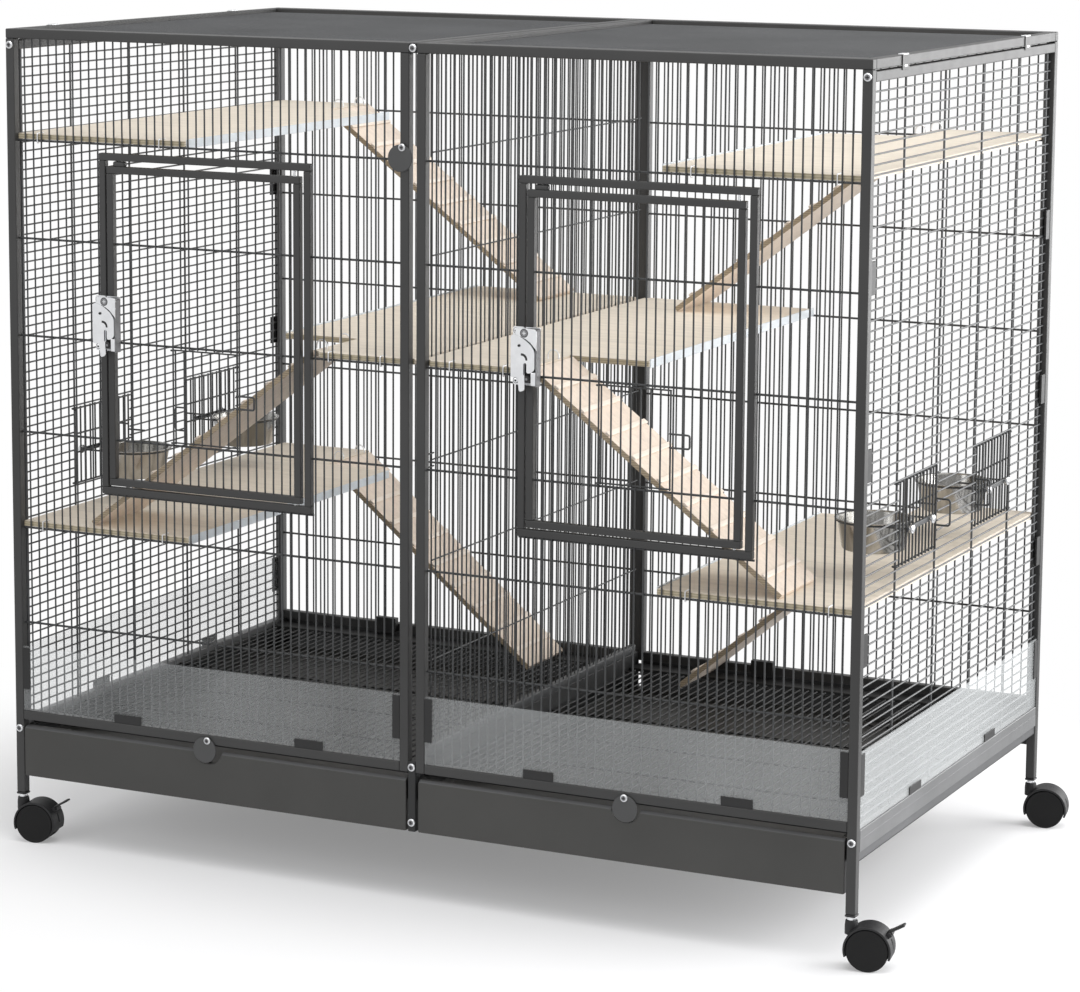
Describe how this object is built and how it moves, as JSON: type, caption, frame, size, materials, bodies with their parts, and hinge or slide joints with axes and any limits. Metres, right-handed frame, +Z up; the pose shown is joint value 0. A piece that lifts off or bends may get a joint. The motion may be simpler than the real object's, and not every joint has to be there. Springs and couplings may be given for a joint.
{
  "type": "ferret cage",
  "caption": "Wire ferret cage on castors with two bays, hinged doors, swing-out bowl hatches, wooden boards, ladders and slide-out trays.",
  "frame": {"origin": "on the floor under the middle of the overall outline", "axes": "+X to the right seen from the front, +Y to the back, +Z up"},
  "size_m": [1.2202, 0.7058, 1.0445],
  "materials": {
    "frame": "satin anthracite powder coat",
    "frame_side": "satin anthracite powder coat",
    "wire": "satin anthracite powder coat",
    "tray": "satin anthracite powder coat",
    "base": "satin black powder coat",
    "grid": "satin black powder coat",
    "zinc": "bright zinc plate",
    "steel": "polished stainless steel",
    "disc": "satin anthracite powder coat",
    "castor": "matt dark grey plastic",
    "wheel": "matt black plastic",
    "wood": "plain light plywood",
    "strip": "pale blue grey plastic",
    "guard": "clear acrylic",
    "black": "matt black plastic"
  },
  "bodies": {
    "cage": {"front_frame_left": "frame", "front_frame_right": "frame", "front_bars": "wire", "back_frame": "frame", "back_bars": "wire", "side_frames": "frame_side", "side_bars": "wire", "roof_frames": "frame", "roof_bars": "wire", "base_rails": "base", "side_ledges": "base", "back_shelves": "base", "floor_grids": "grid", "latch_keepers": "zinc", "bolts": "zinc", "castor_stems": "castor", "boards": "wood", "edge_strips": "strip", "wire_hooks": "zinc", "ladders": "wood", "guards": "guard", "clips": "black"},
    "divider": {"divider": "wire"},
    "tray_left": {"tray_left": "tray", "tray_front_left": "tray"},
    "tray_right": {"tray_right": "tray", "tray_front_right": "tray"},
    "door_left": {"door_frame_left": "frame", "door_bars_left": "wire", "latch_case_left": "zinc"},
    "hatch_left": {"hatch_left": "wire"},
    "latch_lever_left": {"latch_lever_left": "zinc"},
    "door_right": {"door_frame_right": "frame", "door_bars_right": "wire", "latch_case_right": "zinc"},
    "hatch_right": {"hatch_right": "wire"},
    "latch_lever_right": {"latch_lever_right": "zinc"},
    "turn_disc_upper": {"turn_disc_upper": "disc"},
    "turn_disc_left": {"turn_disc_left": "disc"},
    "turn_disc_right": {"turn_disc_right": "disc"},
    "castor_fl": {"castor_hood_fl": "castor"},
    "wheels_fl": {"castor_wheels_fl": "wheel"},
    "castor_fr": {"castor_hood_fr": "castor"},
    "wheels_fr": {"castor_wheels_fr": "wheel"},
    "castor_bl": {"castor_hood_bl": "castor"},
    "wheels_bl": {"castor_wheels_bl": "wheel"},
    "castor_br": {"castor_hood_br": "castor"},
    "wheels_br": {"castor_wheels_br": "wheel"},
    "brake_lever_left": {"brake_lever_left": "black"},
    "brake_lever_right": {"brake_lever_right": "black"},
    "feeder_fl": {"feeder_hatch_fl": "wire"},
    "bowl_fl": {"bowl_fl": "steel"},
    "feeder_bl": {"feeder_hatch_bl": "wire"},
    "bowl_bl": {"bowl_bl": "steel"},
    "feeder_fr": {"feeder_hatch_fr": "wire"},
    "bowl_fr": {"bowl_fr": "steel"},
    "feeder_br": {"feeder_hatch_br": "wire"},
    "bowl_br": {"bowl_br": "steel"}
  },
  "joints": [
    {"name": "divider_slide", "type": "slide", "parent": "cage", "child": "divider", "axis": [0, -1, 0], "range_m": [0, 0.64]},
    {"name": "tray_left_slide", "type": "slide", "parent": "cage", "child": "tray_left", "axis": [0, -1, 0], "range_m": [0, 0.58]},
    {"name": "tray_right_slide", "type": "slide", "parent": "cage", "child": "tray_right", "axis": [0, -1, 0], "range_m": [0, 0.58]},
    {"name": "door_left_hinge", "type": "hinge", "parent": "cage", "child": "door_left", "pos_m": [-0.18603, -0.33515, 0.68], "axis": [0, 0, 1], "range_deg": [0, 100]},
    {"name": "hatch_left_hinge", "type": "hinge", "parent": "door_left", "child": "hatch_left", "pos_m": [-0.35951, -0.33515, 0.595], "axis": [0, 0, -1], "range_deg": [0, 100]},
    {"name": "latch_lever_left_turn", "type": "hinge", "parent": "door_left", "child": "latch_lever_left", "pos_m": [-0.44778, -0.34915, 0.682], "axis": [0, 1, 0], "range_deg": [0, 20]},
    {"name": "door_right_hinge", "type": "hinge", "parent": "cage", "child": "door_right", "pos_m": [0.39397, -0.33515, 0.68], "axis": [0, 0, 1], "range_deg": [0, 100]},
    {"name": "hatch_right_hinge", "type": "hinge", "parent": "door_right", "child": "hatch_right", "pos_m": [0.22049, -0.33515, 0.595], "axis": [0, 0, -1], "range_deg": [0, 100]},
    {"name": "latch_lever_right_turn", "type": "hinge", "parent": "door_right", "child": "latch_lever_right", "pos_m": [0.13222, -0.34915, 0.682], "axis": [0, 1, 0], "range_deg": [0, 20]},
    {"name": "turn_disc_upper_turn", "type": "hinge", "parent": "cage", "child": "turn_disc_upper", "pos_m": [-0.03503, -0.34245, 0.9195], "axis": [0, -1, 0], "continuous": true},
    {"name": "turn_disc_left_turn", "type": "hinge", "parent": "cage", "child": "turn_disc_left", "pos_m": [-0.30933, -0.34245, 0.1654], "axis": [0, -1, 0], "continuous": true},
    {"name": "turn_disc_right_turn", "type": "hinge", "parent": "cage", "child": "turn_disc_right", "pos_m": [0.26217, -0.34245, 0.1654], "axis": [0, -1, 0], "continuous": true},
    {"name": "castor_fl_swivel", "type": "hinge", "parent": "cage", "child": "castor_fl", "pos_m": [-0.59103, -0.33515, 0.05], "axis": [0, 0, 1], "continuous": true},
    {"name": "wheels_fl_roll", "type": "hinge", "parent": "castor_fl", "child": "wheels_fl", "pos_m": [-0.57035, -0.3315, 0.025], "axis": [-0.1736, 0.9848, 0], "continuous": true},
    {"name": "castor_fr_swivel", "type": "hinge", "parent": "cage", "child": "castor_fr", "pos_m": [0.54697, -0.33515, 0.05], "axis": [0, 0, 1], "continuous": true},
    {"name": "wheels_fr_roll", "type": "hinge", "parent": "castor_fr", "child": "wheels_fr", "pos_m": [0.56765, -0.3315, 0.025], "axis": [-0.1736, 0.9848, 0], "continuous": true},
    {"name": "castor_bl_swivel", "type": "hinge", "parent": "cage", "child": "castor_bl", "pos_m": [-0.59103, 0.32785, 0.05], "axis": [0, 0, 1], "continuous": true},
    {"name": "wheels_bl_roll", "type": "hinge", "parent": "castor_bl", "child": "wheels_bl", "pos_m": [-0.57035, 0.3315, 0.025], "axis": [-0.1736, 0.9848, 0], "continuous": true},
    {"name": "castor_br_swivel", "type": "hinge", "parent": "cage", "child": "castor_br", "pos_m": [0.54697, 0.32785, 0.05], "axis": [0, 0, 1], "continuous": true},
    {"name": "wheels_br_roll", "type": "hinge", "parent": "castor_br", "child": "wheels_br", "pos_m": [0.56765, 0.3315, 0.025], "axis": [-0.1736, 0.9848, 0], "continuous": true},
    {"name": "brake_lever_left_press", "type": "hinge", "parent": "castor_fl", "child": "brake_lever_left", "pos_m": [-0.54567, -0.32715, 0.04458], "axis": [-0.1736, 0.9848, 0], "range_deg": [0, 20]},
    {"name": "brake_lever_right_press", "type": "hinge", "parent": "castor_fr", "child": "brake_lever_right", "pos_m": [0.59233, -0.32715, 0.04458], "axis": [-0.1736, 0.9848, 0], "range_deg": [0, 20]},
    {"name": "feeder_fl_hinge", "type": "hinge", "parent": "cage", "child": "feeder_fl", "pos_m": [-0.58853, -0.20965, 0.495], "axis": [0, 0, 1], "range_deg": [0, 90]},
    {"name": "bowl_fl_lift", "type": "slide", "parent": "feeder_fl", "child": "bowl_fl", "axis": [0, 0, 1], "range_m": [0, 0.045]},
    {"name": "feeder_bl_hinge", "type": "hinge", "parent": "cage", "child": "feeder_bl", "pos_m": [-0.58853, 0.20235, 0.495], "axis": [0, 0, -1], "range_deg": [0, 90]},
    {"name": "bowl_bl_lift", "type": "slide", "parent": "feeder_bl", "child": "bowl_bl", "axis": [0, 0, 1], "range_m": [0, 0.045]},
    {"name": "feeder_fr_hinge", "type": "hinge", "parent": "cage", "child": "feeder_fr", "pos_m": [0.54447, -0.20965, 0.495], "axis": [0, 0, -1], "range_deg": [0, 90]},
    {"name": "bowl_fr_lift", "type": "slide", "parent": "feeder_fr", "child": "bowl_fr", "axis": [0, 0, 1], "range_m": [0, 0.045]},
    {"name": "feeder_br_hinge", "type": "hinge", "parent": "cage", "child": "feeder_br", "pos_m": [0.54447, 0.20235, 0.495], "axis": [0, 0, 1], "range_deg": [0, 90]},
    {"name": "bowl_br_lift", "type": "slide", "parent": "feeder_br", "child": "bowl_br", "axis": [0, 0, 1], "range_m": [0, 0.045]}
  ]
}
